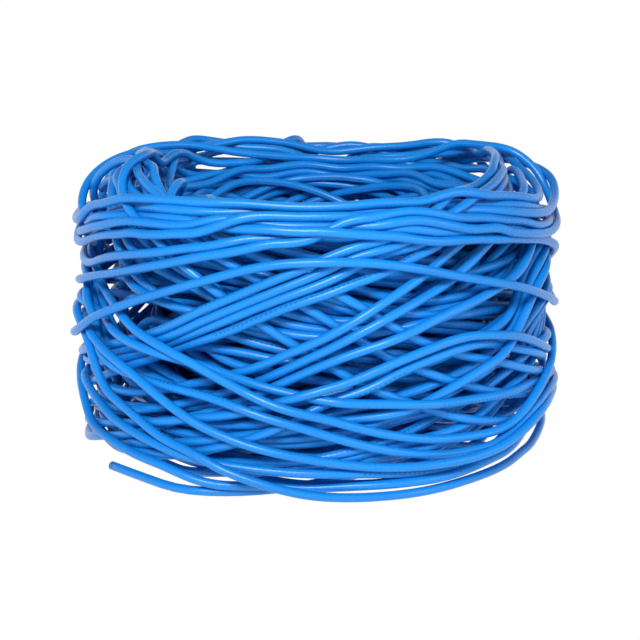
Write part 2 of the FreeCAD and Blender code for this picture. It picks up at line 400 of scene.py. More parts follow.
def part(p, apart, fixed, rounds):
    """Moves turns that pass through each other apart, in long low humps; millimetres."""
    p = p.copy()
    first = p.copy()
    rad = np.maximum(np.hypot(first[:, 0], first[:, 1]), 171.5)
    top = np.maximum(first[:, 2], 208.0)
    M = 8
    t = (np.arange(M) + 0.5) / M
    for step in range(rounds):
        # the quadratic line between its knots, M points for each control point
        a = (p[:-2] + p[1:-1]) / 2
        c = (p[1:-1] + p[2:]) / 2
        b = p[1:-1]
        q = ((1 - t)[None, :, None] ** 2 * a[:, None] + 2 * (t * (1 - t))[None, :, None] * b[:, None] + t[None, :, None] ** 2 * c[:, None]).reshape(-1, 3)
        own = np.repeat(np.arange(1, len(p) - 1), M)
        w = np.gradient(q, axis=0)
        w /= np.maximum(np.linalg.norm(w, axis=1), 1e-9)[:, None]
        i, j = close_pairs(q, apart)
        keep = abs(i - j) > 4 * M
        i, j = i[keep], j[keep]
        diff = q[i] - q[j]
        dist = np.linalg.norm(diff, axis=1)
        n = np.cross(w[i], w[j])
        ln = np.linalg.norm(n, axis=1)
        n *= (np.where((n * diff).sum(1) < 0, -1.0, 1.0) / np.maximum(ln, 1e-9))[:, None]
        u = np.where((ln > 0.35)[:, None], n, diff / np.maximum(dist, 1e-6)[:, None])
        push = u * ((apart - dist) / 2)[:, None]
        best = np.zeros(len(p))
        shift = np.zeros_like(p)
        amount = apart - dist
        for side, sign in ((i, 1.0), (j, -1.0)):
            k = own[side]
            np.add.at(shift, k, sign * push * amount[:, None])
            np.add.at(best, k, amount)
        has = best > 0
        shift[has] /= best[has][:, None]
        s = shift.copy()
        for _ in range(2):
            s[1:-1] = 0.25 * s[:-2] + 0.5 * s[1:-1] + 0.25 * s[2:]
        s *= 1.5
        s[:fixed] = 0
        p += s
        p[fixed:, 2] = np.clip(p[fixed:, 2], 3.05, top[fixed:])
        r = np.hypot(p[:, 0], p[:, 1])
        f = np.minimum(1.0, rad / np.maximum(r, 1e-6))
        f[:fixed] = 1
        p[:, :2] *= f[:, None]
        p = ease(p, 27.0, fixed, 30)
    return p




# The outermost runs across the front, deepest first: angles in degrees, lengths up the
# skeleton, heights held off it where a run stands away from the coil, and how
# the cable bows and twists on its way round the back to the run, and how much it gives.
OUTER = [
    ([-20.4, -9.6, 0.9, 11.1, 22.2, 38.4, 61.5, 76.5],
     [84.5, 81.0, 77.0, 72.0, 66.5, 57.0, 41.0, 31.0],
     [0.0, 0.0, 0.0, 0.0, 0.0, 0.0, 0.0, 21.2], (45.2, -9.1), 2.8),
    ([-18.9, -9.3, 0.9, 10.8, 21.6, 37.2, 60.3, 79.2],
     [169.5, 168.5, 165.0, 161.0, 156.0, 149.0, 138.0, 129.5],
     [11.9, 0.0, 0.0, 0.0, 0.0, 0.0, 0.0, 16.9], (7.7, -4.4), 2.8),
    ([-20.1, -9.6, 0.9, 11.1, 22.2, 38.4, 62.1, 80.4],
     [94.4, 90.4, 86.4, 81.9, 76.4, 66.9, 51.4, 39.4],
     [0.0, 0.0, 0.0, 0.0, 0.0, 0.0, 0.0, 20.2], (-72.8, 7.4), 2.8),
    ([-18.3, -8.7, 0.6, 10.8, 21.6, 37.5, 61.8, 81.0],
     [164.4, 160.4, 155.4, 150.4, 145.4, 138.4, 125.9, 116.9],
     [0.0, 0.0, 0.0, 0.0, 0.0, 0.0, 0.0, 17.3], (54.2, -3.8), 2.8),
    ([-20.4, -9.6, 0.9, 11.1, 22.2, 38.1, 62.7, 80.4],
     [109.5, 106.0, 102.0, 97.5, 92.0, 83.0, 67.5, 56.5],
     [0.0, 0.0, 0.0, 0.0, 0.0, 0.0, 0.0, 19.2], (63.5, 1.8), 2.8),
    ([-19.8, -9.3, 0.6, 10.8, 21.3, 36.9, 59.7, 81.0],
     [155.9, 151.9, 147.9, 143.4, 138.9, 131.4, 119.4, 108.9],
     [0.0, 0.0, 0.0, 0.0, 0.0, 0.0, 0.0, 17.2], (-95.6, 8.4), 2.8),
    ([-20.1, -9.6, 0.9, 11.1, 21.9, 38.1, 62.4, 80.4],
     [120.0, 116.5, 112.5, 108.0, 102.5, 94.0, 79.0, 68.5],
     [0.0, 0.0, 0.0, 0.0, 0.0, 0.0, 0.0, 19.4], (7.5, 20.8), 2.8),
    ([-19.8, -9.3, 0.6, 10.8, 21.6, 36.9, 60.0, 78.0],
     [147.9, 144.4, 140.4, 135.9, 130.9, 123.4, 110.9, 101.9],
     [0.0, 0.0, 0.0, 0.0, 0.0, 0.0, 0.0, 17.7], (57.6, 10.7), 2.8),
    ([-20.1, -9.6, 0.9, 11.1, 21.9, 37.8, 60.9, 77.4],
     [129.0, 125.5, 121.5, 117.0, 112.0, 103.5, 90.0, 81.0],
     [0.0, 0.0, 0.0, 0.0, 0.0, 0.0, 0.0, 19.4], (-23.3, -9.5), 2.8),
    ([-19.8, -9.3, 0.9, 10.8, 21.6, 37.2, 61.2, 80.7],
     [140.4, 136.4, 132.4, 127.9, 122.9, 115.4, 101.9, 91.4],
     [0.0, 0.0, 0.0, 0.0, 0.0, 0.0, 0.0, 18.0], (69.1, 2.0), 2.8),
    ([-19.2, -9.0, 0.6, 10.5, 21.0, 36.0, 57.9, 81.3],
     [133.9, 130.4, 125.9, 121.9, 116.9, 108.9, 96.4, 82.9],
     [0.0, 0.0, 0.0, 0.0, 0.0, 0.0, 0.0, 18.1], (-79.2, 14.6), 2.8),
    ([-113.7, -101.4, -96.0, -92.7, -60.3, -56.4, -51.0, -46.5, -41.1, -34.8, -28.5, -22.2, -15.9],
     [173.5, 173.0, 172.0, 171.0, 170.5, 168.5, 147.5, 136.0, 126.0, 118.5, 112.0, 106.5, 101.5],
     [24.0, 21.3, 19.2, 17.5, 30.8, 29.4, 0.0, 0.0, 0.0, 0.0, 0.0, 0.0, 0.0], (-78.8, -6.7), 2.8),
    ([-155.7, -138.0, -120.3, -107.7, -67.8, -61.8, -54.6, -50.7, -46.5, -41.1, -35.1, -28.5, -22.2, -15.9, -9.9, -3.6],
     [177.7, 174.7, 175.2, 174.7, 174.7, 173.2, 171.7, 170.2, 164.2, 154.2, 146.2, 139.7, 134.2, 129.7, 125.2, 120.7],
     [25.1, 24.5, 23.8, 20.7, 25.0, 0.0, 26.3, 0.0, 0.0, 0.0, 0.0, 0.0, 0.0, 0.0, 0.0, 0.0], (41.5, 3.9), 2.8),
    ([-215.7, -188.1, -167.1, -152.7, -138.3, -123.0, -116.4, -90.6, -67.5, -62.1, -52.8, -44.7, -38.1, -31.5, -25.5, -19.5, -13.8, -8.1],
     [196.0, 174.5, 174.0, 174.0, 173.5, 174.0, 173.0, 175.5, 173.0, 171.5, 170.0, 151.5, 143.0, 136.5, 130.0, 125.0, 121.0, 116.5],
     [0.0, 25.0, 28.0, 28.0, 29.0, 28.0, 26.0, 0.0, 25.0, 0.0, 31.7, 0.0, 0.0, 0.0, 0.0, 0.0, 0.0, 0.0], (16.5, 15.5), 2.8),
    ([-125.4, -111.0, -101.1, -88.5, -69.3, -57.6, -48.6, -41.7, -39.9, -36.6, -30.3, -24.6, -18.6, -13.2, -7.5, -2.1, 3.3],
     [212.5, 206.0, 193.5, 186.0, 176.0, 172.5, 171.0, 170.0, 169.0, 166.5, 159.5, 153.0, 147.5, 143.0, 139.0, 134.5, 129.5],
     [0.0, 0.0, 0.0, 0.0, 0.0, 0.0, 28.0, 35.0, 0.0, 0.0, 0.0, 0.0, 0.0, 0.0, 0.0, 0.0, 0.0], (69.2, -4.1), 2.8),
    ([-116.4, -103.2, -57.3, -55.2, -50.7, -45.0, -42.6, -37.2, -32.4, -27.0, -21.6, -16.2, -10.2, -4.5, 1.5, 7.8],
     [183.1, 187.1, 174.6, 173.6, 172.6, 171.6, 171.1, 170.1, 168.6, 161.6, 155.6, 150.1, 145.6, 140.1, 135.6, 130.6],
     [0.0, 0.0, 0.0, 0.0, 31.6, 34.2, 0.0, 0.0, 0.0, 0.0, 0.0, 0.0, 0.0, 0.0, 0.0, 0.0], (23.0, 3.3), 2.8),
    ([-61.2, -50.4, -43.2, -31.5, -25.8, -20.1, -14.4, -8.7, -3.3, 2.1, 7.5, 13.2],
     [174.0, 172.5, 171.5, 169.5, 168.0, 164.0, 159.0, 155.0, 150.5, 146.0, 141.0, 135.5],
     [0.0, 0.0, 0.0, 31.7, 0.0, 0.0, 0.0, 0.0, 0.0, 0.0, 0.0, 0.0], (-64.5, 14.3), 2.8),
    ([-28.8, -24.6, -19.5, -14.7, -9.3, -3.9, 1.8, 7.2],
     [174.0, 170.5, 169.5, 168.5, 167.0, 163.0, 158.0, 153.0],
     [0.0, 25.0, 26.0, 0.0, 0.0, 0.0, 0.0, 0.0], (80.9, 2.0), 2.8),
    ([-80.4, -76.5, -73.2, -69.3, -63.3, -55.5, -47.4, -36.3, -23.4],
     [128.4, 113.9, 103.4, 92.4, 82.9, 76.9, 72.4, 66.4, 58.9],
     [23.6, 0.0, 0.0, 0.0, 0.0, 0.0, 0.0, 0.0, 0.0], (-0.7, 11.1), 2.8),
    ([-80.7, -74.1, -68.4, -62.1, -55.5, -46.5, -32.7, -17.7, -4.5],
     [112.1, 100.1, 89.1, 80.1, 73.6, 66.6, 60.1, 52.6, 45.1],
     [25.7, 0.0, 0.0, 0.0, 0.0, 0.0, 0.0, 0.0, 0.0], (-118.3, -3.1), 2.8),
    ([-80.7, -73.8, -66.9, -61.5, -56.7, -50.4, -44.1, -33.0, -20.7],
     [118.9, 104.9, 91.4, 78.4, 66.9, 57.4, 48.4, 40.4, 33.9],
     [26.4, 0.0, 0.0, 0.0, 0.0, 0.0, 0.0, 0.0, 0.0], (-79.9, -0.2), 2.8),
    ([-77.1, -58.8, -45.0, -33.0, -20.7],
     [102.9, 34.9, 32.4, 26.4, 22.9],
     [28.2, 0.0, 0.0, 0.0, 0.0], (-44.3, -0.5), 2.8),
    ([-80.1, -59.4, -46.8, -33.3, -20.7],
     [78.9, 16.9, 14.9, 13.9, 13.4],
     [29.5, 0.0, 0.0, 0.0, 0.0], (-17.0, 22.5), 2.8),
    ([32.1, 47.1, 57.6, 66.3, 75.0, 80.4],
     [29.9, 34.9, 46.4, 62.4, 78.4, 96.9],
     [0.0, 0.0, 0.0, 0.0, 0.0, 22.0], (-76.2, 6.2), 2.8),
    ([37.5, 49.8, 58.2, 66.0, 70.8, 74.7],
     [36.1, 43.6, 57.1, 75.1, 93.6, 109.1],
     None, (-6.7, 16.3), 2.8),
    ([18.9, 28.8, 40.8, 52.2, 61.5, 64.8],
     [113.5, 120.0, 126.0, 134.0, 144.5, 153.5],
     None, (49.8, -9.0), 2.8),
    ([3.3, 15.9, 29.7, 42.6, 53.1, 63.3, 69.3],
     [72.8, 80.8, 87.8, 95.8, 105.8, 117.8, 137.3],
     None, (-53.7, 13.1), 2.8),
    ([3.0, 15.3, 29.7, 43.5, 52.5, 62.4, 71.4, 75.6],
     [26.5, 33.5, 38.0, 44.0, 55.0, 66.0, 83.0, 98.5],
     None, (-63.6, 8.6), 2.8),
    ([3.0, 14.1, 26.4, 37.8, 48.6, 57.9, 64.2],
     [71.0, 79.0, 86.0, 94.0, 103.0, 115.0, 133.5],
     None, (-106.3, 12.5), 2.8),
    ([3.0, 15.0, 28.2, 40.2, 49.8, 58.5, 64.5],
     [31.4, 38.4, 44.4, 51.9, 61.4, 73.4, 92.4],
     None, (-67.8, -19.2), 2.8),
    ([3.3, 16.2, 30.0, 43.2, 52.2, 59.1, 64.5],
     [56.6, 64.6, 71.6, 79.1, 90.1, 104.1, 123.6],
     None, (-88.7, -8.4), 2.8),
    ([3.0, 16.2, 31.2, 44.1, 52.8],
     [40.6, 46.6, 51.6, 59.1, 70.6],
     None, (-30.8, 3.1), 2.8),
    ([3.0, 15.6, 28.8, 40.8, 49.5, 56.1, 61.5],
     [57.6, 64.6, 71.6, 79.6, 90.6, 104.6, 123.6],
     None, (-59.6, -11.0), 2.8),
    ([3.0, 15.9, 30.0, 40.5, 49.5, 56.4],
     [45.0, 51.0, 57.0, 67.0, 77.5, 91.5],
     None, (13.7, 10.0), 2.8),
    ([-38.4, -32.1, -26.7, -21.9, -15.3, -8.1, 0.6, 9.3, 18.3, 25.8, 35.1, 41.4, 47.4, 54.6, 82.5],
     [171.5, 170.5, 169.5, 168.5, 164.0, 154.0, 143.0, 131.0, 114.5, 102.5, 91.5, 86.5, 81.5, 74.0, 50.0],
     [0.0, 28.3, 0.0, 0.0, 0.0, 0.0, 0.0, 0.0, 0.0, 0.0, 0.0, 0.0, 0.0, 0.0, 27.3], (63.5, 9.9), 2.8),
    ([-42.3, -37.2, -32.1, -27.3, -22.5, -17.7, -12.3, -6.3, 0.6, 6.3, 12.0, 18.9, 23.4, 30.3, 36.0, 42.3, 48.9, 59.1, 73.8],
     [179.5, 170.5, 169.5, 168.5, 162.5, 154.0, 144.5, 134.0, 123.5, 114.0, 104.0, 91.0, 86.5, 78.0, 71.5, 65.0, 59.0, 52.0, 46.0],
     None, (23.5, -13.0), 2.8),
    ([-174.0, -142.5, -121.5, -99.3, -69.9, -58.2, -53.7, -51.3, -48.6, -42.9, -37.5, -32.4, -27.9, -22.8, -17.7, -12.0, -6.3, 3.0, 9.9, 14.7, 19.8, 25.2, 30.6, 36.0, 42.0, 51.0, 59.1, 64.2],
     [174.0, 223.0, 203.5, 198.5, 185.0, 173.5, 172.0, 171.0, 170.5, 169.0, 167.5, 158.0, 148.0, 137.0, 125.0, 115.0, 105.5, 90.5, 79.0, 73.0, 66.5, 60.0, 53.5, 48.5, 43.5, 38.0, 35.5, 42.5],
     [19.6, 0.0, 0.0, 0.0, 0.0, 0.0, 0.0, 0.0, 0.0, 0.0, 0.0, 0.0, 0.0, 0.0, 0.0, 0.0, 0.0, 0.0, 0.0, 0.0, 0.0, 0.0, 0.0, 0.0, 0.0, 0.0, 0.0, 0.0], (-39.6, -14.8), 2.8),
    ([-76.8, -55.2, -39.0, -27.9, -20.4, -13.2, -3.9, 5.4, 19.2, 29.1, 39.6, 51.3, 59.4],
     [11.5, 21.5, 31.0, 37.5, 42.0, 46.0, 51.5, 55.0, 59.5, 68.0, 81.0, 95.0, 117.5],
     [26.2, 0.0, 0.0, 0.0, 0.0, 0.0, 0.0, 0.0, 0.0, 0.0, 0.0, 0.0, 0.0], (-15.9, 14.3), 2.8),
    ([-57.6, -44.4, -35.7, -22.2, -8.1, 3.0, 10.8, 18.6, 28.2, 36.6, 46.2, 53.7, 68.7],
     [20.5, 22.0, 24.0, 36.5, 52.5, 69.5, 76.5, 87.0, 95.5, 98.5, 95.0, 88.0, 73.0],
     None, (-2.9, -5.8), 1.4),
    ([-79.8, -63.3, -53.1, -46.5, -41.4, -33.0, -27.9, -22.5, -16.8, -11.4, -6.3, -1.5, 3.0, 6.9, 13.5, 18.0, 25.8, 33.6, 39.6, 44.7, 49.5, 67.2],
     [27.5, 43.0, 45.5, 48.5, 52.0, 59.0, 63.0, 69.0, 74.5, 82.0, 90.0, 97.5, 104.0, 111.0, 121.5, 127.5, 134.5, 142.0, 153.5, 165.5, 168.5, 168.5],
     [33.5, 0.0, 0.0, 0.0, 0.0, 0.0, 0.0, 0.0, 0.0, 0.0, 0.0, 0.0, 0.0, 0.0, 0.0, 0.0, 0.0, 0.0, 0.0, 0.0, 28.7, 20.0], (41.1, 22.6), 2.8),
    ([-80.4, -47.4, -36.0, -26.1, -16.2, -11.1, -3.9, 0.6, 7.2, 17.7, 24.9, 32.7, 45.9, 55.8, 62.4],
     [4.0, 34.0, 47.5, 56.0, 68.0, 75.0, 85.5, 92.0, 100.5, 111.0, 119.0, 125.0, 133.0, 142.0, 152.5],
     [34.9, 0.0, 0.0, 0.0, 0.0, 0.0, 0.0, 0.0, 0.0, 0.0, 0.0, 0.0, 0.0, 0.0, 0.0], (67.0, -14.5), 1.4),
    ([-67.2, -59.7, -50.1, -45.3, -39.3, -33.6, -27.6, -20.1, -13.2, -8.4, -3.9, 0.6, 4.8, 9.0, 13.5, 18.0, 24.3, 31.2, 38.1, 45.6, 54.3],
     [54.5, 54.5, 57.5, 61.0, 65.5, 70.5, 75.0, 82.5, 90.0, 97.0, 103.5, 109.5, 116.5, 124.0, 132.0, 139.0, 147.5, 158.0, 168.0, 169.0, 170.0],
     None, (40.1, -9.1), 1.4),
    ([-64.2, -57.0, -50.4, -44.1, -38.1, -31.8, -25.5, -19.8, -15.0, -9.3, -3.6, 0.6, 7.2, 15.9, 19.5, 25.2, 30.0, 39.6, 53.4, 60.6, 69.3, 78.9, 100.8, 115.5],
     [59.5, 68.5, 77.0, 84.5, 92.0, 99.0, 106.0, 112.5, 119.5, 126.5, 133.5, 137.0, 144.5, 152.0, 157.0, 164.5, 168.5, 169.5, 171.0, 171.5, 173.0, 174.5, 174.0, 173.0],
     [0.0, 0.0, 0.0, 0.0, 0.0, 0.0, 0.0, 0.0, 0.0, 0.0, 0.0, 0.0, 0.0, 0.0, 0.0, 0.0, 32.1, 27.2, 19.2, 19.0, 0.0, 0.0, 0.0, 27.0], (16.8, 4.0), 1.4),
    ([-80.1, -63.3, -54.3, -46.8, -40.2, -33.9, -27.6, -20.7, -15.0, -9.3, -3.6, 0.6, 6.0, 10.5, 17.7, 25.8, 35.7, 45.0, 57.9, 66.9, 84.3, 111.6],
     [62.0, 73.0, 80.0, 87.5, 95.0, 102.5, 110.5, 119.5, 127.0, 134.0, 140.0, 144.5, 151.0, 159.0, 166.0, 168.5, 170.0, 171.0, 172.5, 173.5, 177.5, 173.5],
     [0.0, 0.0, 0.0, 0.0, 0.0, 0.0, 0.0, 0.0, 0.0, 0.0, 0.0, 0.0, 0.0, 0.0, 0.0, 0.0, 0.0, 29.3, 0.0, 26.9, 0.0, 26.4], (10.8, 0.9), 1.4),
    ([-69.3, -60.3, -53.4, -42.0, -32.7, -27.0, -20.4, -14.7, -9.0, -3.6, 0.6, 6.0, 13.2, 20.7, 29.1, 39.6, 48.6, 57.9, 68.1, 85.2, 117.9, 126.3],
     [74.5, 81.5, 87.0, 97.5, 108.5, 117.0, 126.0, 133.5, 140.5, 147.0, 151.5, 160.5, 167.0, 168.5, 169.5, 171.0, 172.0, 173.0, 174.0, 181.0, 173.5, 174.5],
     [0.0, 0.0, 0.0, 0.0, 0.0, 0.0, 0.0, 0.0, 0.0, 0.0, 0.0, 0.0, 0.0, 0.0, 0.0, 0.0, 0.0, 0.0, 0.0, 0.0, 28.5, 28.2], (53.8, -20.8), 1.4),
    ([-80.1, -63.6, -54.9, -47.4, -40.8, -33.0, -26.4, -20.1, -14.4, -9.0, -3.6, 1.8, 6.9, 15.3, 22.2, 35.4, 44.4, 52.5, 61.2, 76.5, 92.1, 111.3, 127.5, 139.8, 150.0],
     [68.5, 81.0, 89.5, 97.0, 104.0, 114.5, 125.0, 133.5, 141.0, 148.0, 154.0, 161.5, 167.0, 168.5, 169.5, 172.0, 173.0, 173.5, 174.0, 178.5, 182.5, 177.5, 174.0, 173.5, 174.5],
     [0.0, 0.0, 0.0, 0.0, 0.0, 0.0, 0.0, 0.0, 0.0, 0.0, 0.0, 0.0, 0.0, 0.0, 35.7, 22.7, 0.0, 0.0, 0.0, 0.0, 0.0, 0.0, 29.0, 27.2, 0.0], (88.0, -17.9), 1.4),
    ([20.0, 45.0, 62.0, 74.0, 82.0, 90.0, 98.0, 107.0],
     [66.0, 60.0, 58.0, 56.0, 51.0, 38.0, 24.0, 12.0],
     [0.0, 0.0, 0.0, 34.0, 37.0, 38.5, 36.0, 0.0], (-12.5, -25.8), 2.8),
    ([-74.7, -51.6, -37.2, -29.1, -21.9, -14.7, -9.0, -3.6, 2.7, 7.2, 15.9, 25.2, 30.3, 35.4, 41.4, 48.0, 57.3, 70.2],
     [20.0, 36.5, 46.5, 53.5, 57.0, 62.5, 68.5, 74.0, 80.0, 83.5, 93.0, 101.5, 105.0, 106.0, 104.0, 100.0, 91.5, 77.5],
     None, (52.7, -6.7), 1.4),
    ([-73.5, -68.1, -52.8, -44.4, -37.8, -33.3, -28.8, -23.7, -18.9, -14.4, -9.9, -5.7, -1.5, 2.7, 7.2, 11.7, 16.8, 27.0, 32.1, 43.5, 48.9, 53.1, 57.6],
     [130.0, 121.0, 115.0, 106.0, 100.5, 95.5, 91.5, 85.5, 80.0, 75.5, 70.5, 66.5, 63.5, 59.5, 54.5, 49.5, 45.0, 38.5, 37.0, 35.5, 35.5, 38.0, 46.0],
     None, (-95.4, 9.9), 1.4),
    ([-63.6, -61.2, -54.6, -45.3, -36.9, -29.4, -22.5, -16.5, -9.9, -3.6, 5.1, 12.0, 19.5, 27.3, 35.7, 41.4, 49.5, 56.1],
     [94.5, 85.5, 78.0, 74.0, 71.0, 70.5, 69.5, 65.5, 60.0, 54.5, 45.5, 38.5, 32.5, 27.5, 25.0, 26.5, 30.5, 38.5],
     None, (53.2, 8.8), 1.4),
    ([-61.2, -54.6, -46.8, -39.9, -34.2, -24.3, -12.9, 3.0, 20.1, 34.8, 49.2, 63.6, 84.3],
     [46.5, 41.0, 37.5, 34.0, 30.5, 26.5, 23.0, 20.5, 16.5, 13.0, 13.5, 15.5, 14.5],
     [0.0, 0.0, 0.0, 0.0, 0.0, 0.0, 0.0, 0.0, 0.0, 0.0, 0.0, 0.0, 19.4], (-55.7, -1.8), 1.4),
    ([-57.3, -50.1, -40.2, -36.6, -30.9, -26.1, -21.3, -16.8, -12.3, -6.0, 3.0, 14.4, 21.3, 28.2, 36.0, 45.6, 53.7],
     [88.0, 81.0, 70.5, 65.0, 57.5, 51.0, 47.0, 43.0, 39.5, 35.0, 29.5, 24.0, 23.0, 23.5, 24.5, 28.0, 35.0],
     None, (-53.3, -11.3), 1.4),
    ([-70.2, -64.2, -57.0, -51.3, -43.5, -37.2, -32.1, -27.3, -22.8, -18.6, -6.9, 8.1, 17.4, 24.9, 33.0, 44.7, 55.2, 66.0],
     [39.0, 26.0, 24.0, 23.0, 21.0, 20.0, 15.5, 11.5, 9.0, 7.0, 6.0, 9.0, 10.5, 11.5, 11.0, 13.0, 16.0, 23.0],
     None, (-37.5, -12.3), 1.4),
    ([-60.3, -57.9, -56.1, -52.8, -48.6, -41.4, -38.4, -33.9, -28.5, -23.7, -18.9, -14.7, -10.2, -6.0, -1.5, 9.3, 19.5, 30.3, 40.2, 51.9, 65.7, 74.7, 84.0],
     [79.0, 71.5, 62.5, 57.5, 53.5, 45.5, 41.0, 36.5, 32.5, 27.0, 22.0, 18.0, 14.0, 10.0, 6.5, 3.0, 3.0, 3.0, 3.0, 3.0, 3.0, 4.0, 7.0],
     [0.0, 0.0, 0.0, 0.0, 0.0, 0.0, 0.0, 0.0, 0.0, 0.0, 0.0, 0.0, 0.0, 0.0, 0.0, 0.0, 22.7, 22.4, 0.0, 22.3, 20.0, 21.0, 19.5], (-40.1, -4.5), 1.4),
    ([-64.5, -58.5, -48.6, -38.4, -24.9, -15.9, -9.9, -3.6, 4.8, 13.2, 24.3, 37.5, 52.2, 66.3],
     [141.0, 146.5, 153.5, 159.5, 167.0, 168.5, 168.5, 169.0, 169.0, 169.5, 169.0, 168.5, 168.0, 162.0],
     [0.0, 0.0, 0.0, 0.0, 0.0, 0.0, 0.0, 0.0, 35.3, 0.0, 0.0, 0.0, 0.0, 0.0], (45.6, -19.4), 1.4),
    ([-66.9, -63.3, -54.9, -45.3, -38.4, -32.7, -25.2, -18.3, -13.8, -9.6, -5.4, -2.4, 4.8, 13.2, 17.7, 22.5, 29.4, 37.8, 45.9, 55.2, 67.8],
     [129.5, 132.5, 138.0, 145.0, 150.5, 155.0, 161.0, 165.5, 168.0, 168.5, 168.5, 168.5, 169.5, 169.5, 170.0, 170.0, 169.5, 169.5, 169.0, 168.5, 165.5],
     None, (-45.4, 6.9), 1.4),
    ([-63.6, -49.2, -39.3, -30.9, -21.6, -3.9, 5.1, 11.7, 18.3, 27.9, 39.3, 48.9, 57.0],
     [168.0, 169.5, 170.0, 170.0, 170.5, 171.5, 171.0, 170.5, 170.5, 170.5, 170.5, 170.0, 169.5],
     [0.0, 0.0, 0.0, 0.0, 0.0, 0.0, 0.0, 29.1, 0.0, 34.7, 0.0, 0.0, 0.0], (4.7, -1.4), 1.4),
    ([-65.7, -60.6, -53.7, -45.3, -36.3, -25.5, -18.3, -12.0, -5.4, 0.6, 8.7, 17.4, 24.3, 31.5, 40.8, 57.6],
     [168.0, 168.5, 169.0, 169.5, 169.5, 169.5, 169.5, 169.5, 169.0, 169.0, 169.0, 169.0, 168.5, 168.5, 168.0, 160.5],
     [0.0, 0.0, 0.0, 0.0, 0.0, 35.5, 0.0, 0.0, 0.0, 0.0, 0.0, 0.0, 0.0, 0.0, 0.0, 0.0], (23.6, -14.6), 1.4),
    ([-67.2, -61.2, -54.3, -35.7, -27.6, -21.9, -12.0, 0.6, 13.2, 19.8, 26.7, 34.2, 43.2, 60.9],
     [162.5, 167.5, 168.5, 169.0, 169.0, 169.5, 169.5, 169.5, 169.5, 169.5, 169.0, 168.5, 168.5, 162.0],
     [0.0, 0.0, 0.0, 0.0, 0.0, 0.0, 0.0, 34.2, 0.0, 0.0, 0.0, 0.0, 0.0, 0.0], (-97.3, -25.6), 1.4),
    ([-66.3, -62.7, -54.9, -46.5, -38.1, -30.0, -24.0, -19.5, -14.1, -3.6, 4.8, 11.1, 19.5, 25.5, 33.3, 41.4, 49.8, 60.0],
     [155.5, 159.0, 164.5, 168.0, 168.5, 169.0, 169.0, 169.5, 170.0, 170.0, 170.0, 170.0, 170.5, 170.5, 170.5, 170.0, 169.5, 169.0],
     [0.0, 0.0, 0.0, 0.0, 0.0, 0.0, 0.0, 0.0, 0.0, 0.0, 35.2, 34.6, 0.0, 0.0, 0.0, 0.0, 0.0, 0.0], (92.2, -9.3), 1.4),
    ([-61.8, -60.0, -54.9, -46.2, -26.4, -15.0, -3.9, 7.2, 16.2, 22.8, 31.2, 39.3, 50.1, 59.1],
     [169.0, 169.5, 169.5, 170.0, 170.5, 171.0, 171.0, 171.0, 171.0, 170.5, 171.0, 170.5, 170.5, 170.0],
     None, (1.9, 4.7), 1.4),
    ([-62.4, -59.1, -54.6, -48.3, -42.0, -36.0, -30.6, -25.2, -20.4, -16.2, -11.7, -7.5, -3.6, 9.0, 15.3, 22.2, 29.7, 37.8, 47.4, 61.5, 68.1, 80.1],
     [100.0, 105.5, 112.0, 120.0, 127.5, 133.5, 139.5, 145.0, 149.5, 153.5, 156.5, 159.0, 160.0, 160.0, 157.5, 153.5, 147.5, 141.5, 134.5, 121.5, 115.0, 103.5],
     [0.0, 0.0, 0.0, 0.0, 0.0, 0.0, 0.0, 0.0, 0.0, 0.0, 0.0, 0.0, 0.0, 0.0, 0.0, 0.0, 0.0, 0.0, 0.0, 0.0, 0.0, 40.4], (22.4, 3.0), 1.4),
    ([155.0, 180.0, 205.0, 230.0, 250.0],
     [70.0, 48.0, 26.0, 11.0, 6.0],
     None, (32.0, 10.1), 2.8),
]


# ------------------------------------------------------------------ the pieces
def shader(name):
    m = bpy.data.materials.new(name)
    m.use_nodes = True
    t = m.node_tree
    b = next(n for n in t.nodes if n.type == "BSDF_PRINCIPLED")
    return m, t, b


def node(t, kind, **values):
    n = t.nodes.new(kind)
    for key, v in values.items():
        if hasattr(n, key):
            setattr(n, key, v)
        else:
            n.inputs[key].default_value = v
    return n


def ramp(t, source, stops):
    n = t.nodes.new("ShaderNodeValToRGB")
    e = n.color_ramp.elements
    while len(e) < len(stops):
        e.new(0.5)
    for i, (p, c) in enumerate(stops):
        e[i].position = p
        e[i].color = (*c, 1) if len(c) == 3 else c
    t.links.new(source, n.inputs[0])
    return n


def mix(t, factor, a, b, blend="MIX"):
    n = t.nodes.new("ShaderNodeMix")
    n.data_type = "RGBA"
    n.blend_type = blend
    for i, v in ((0, factor), (6, a), (7, b)):
        if hasattr(v, "links"):
            t.links.new(v, n.inputs[i])
        else:
            n.inputs[i].default_value = v
    return n.outputs[2]


